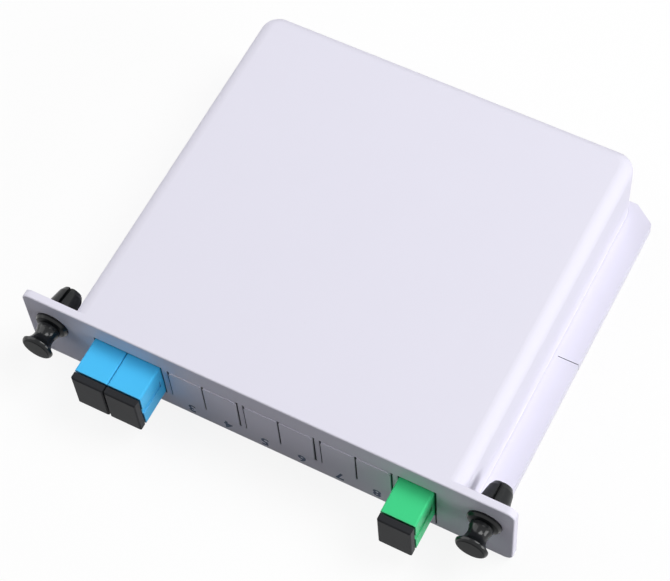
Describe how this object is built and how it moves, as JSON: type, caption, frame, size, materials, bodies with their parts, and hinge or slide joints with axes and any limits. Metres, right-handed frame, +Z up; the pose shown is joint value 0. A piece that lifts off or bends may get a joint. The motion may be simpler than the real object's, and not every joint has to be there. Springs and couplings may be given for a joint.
{
  "type": "plc fibre splitter",
  "caption": "Flat plug-in splitter cassette: white box on a front panel with capped fibre adapters, outlined blanks, push-pull latches and side guide rails.",
  "frame": {"origin": "centre of the bottom cover's underside", "axes": "+X along the front panel towards the input adapter, +Y from the panel to the rear wall, +Z up"},
  "size_m": [0.13, 0.1117, 0.025],
  "materials": {
    "white_shell": "fine satin moulding, faintly cool white",
    "adapter_blue": "smooth moulded plastic",
    "adapter_green": "smooth moulded plastic",
    "charcoal": "soft moulded plastic",
    "black_nylon": "semi-gloss nylon",
    "white_nylon": "natural nylon",
    "zirconia": "ground white ceramic",
    "steel": "bright steel",
    "nickel": "nickel-plated brass",
    "plug_blue": "smooth moulded plastic",
    "plug_green": "smooth moulded plastic",
    "boot_blue": "soft elastomer",
    "boot_green": "soft elastomer",
    "fibre_buffer": "0.9 mm buffer",
    "black_rubber": "soft elastomer",
    "foam": "double-sided foam tape"
  },
  "bodies": {
    "cassette": {"housing": "white_shell", "bottom_cover": "white_shell", "cover_screws": "steel", "adapter_body_output_1": "adapter_blue", "sleeve_holder_output_1": "white_nylon", "split_sleeve_output_1": "zirconia", "plug_shell_output_1": "plug_blue", "plug_frame_output_1": "white_nylon", "ferrule_output_1": "zirconia", "ferrule_spring_output_1": "steel", "plug_collar_output_1": "nickel", "plug_boot_output_1": "boot_blue", "fibre_output_1": "fibre_buffer", "adapter_body_output_2": "adapter_blue", "sleeve_holder_output_2": "white_nylon", "split_sleeve_output_2": "zirconia", "plug_shell_output_2": "plug_blue", "plug_frame_output_2": "white_nylon", "ferrule_output_2": "zirconia", "ferrule_spring_output_2": "steel", "plug_collar_output_2": "nickel", "plug_boot_output_2": "boot_blue", "fibre_output_2": "fibre_buffer", "adapter_body_input": "adapter_green", "sleeve_holder_input": "white_nylon", "split_sleeve_input": "zirconia", "plug_shell_input": "plug_green", "plug_frame_input": "white_nylon", "ferrule_input": "zirconia", "ferrule_spring_input": "steel", "plug_collar_input": "nickel", "plug_boot_input": "boot_green", "fibre_input": "fibre_buffer", "splitter_module": "steel", "module_boot_output": "black_rubber", "module_boot_input": "black_rubber", "module_pad": "foam", "grommet_left": "black_nylon", "grommet_right": "black_nylon"},
    "dust_cap_output_1": {"dust_cap_output_1": "charcoal"},
    "dust_cap_output_2": {"dust_cap_output_2": "charcoal"},
    "dust_cap_input": {"dust_cap_input": "charcoal"},
    "plunger_left": {"plunger_left": "black_nylon"},
    "plunger_right": {"plunger_right": "black_nylon"}
  },
  "joints": [
    {"name": "dust_cap_output_1_pull", "type": "slide", "parent": "cassette", "child": "dust_cap_output_1", "axis": [0, -1, 0], "range_m": [0, 0.012]},
    {"name": "dust_cap_output_2_pull", "type": "slide", "parent": "cassette", "child": "dust_cap_output_2", "axis": [0, -1, 0], "range_m": [0, 0.012]},
    {"name": "dust_cap_input_pull", "type": "slide", "parent": "cassette", "child": "dust_cap_input", "axis": [0, -1, 0], "range_m": [0, 0.012]},
    {"name": "plunger_left_pull", "type": "slide", "parent": "cassette", "child": "plunger_left", "axis": [0, -1, 0], "range_m": [0, 0.004]},
    {"name": "plunger_right_pull", "type": "slide", "parent": "cassette", "child": "plunger_right", "axis": [0, -1, 0], "range_m": [0, 0.004]}
  ]
}
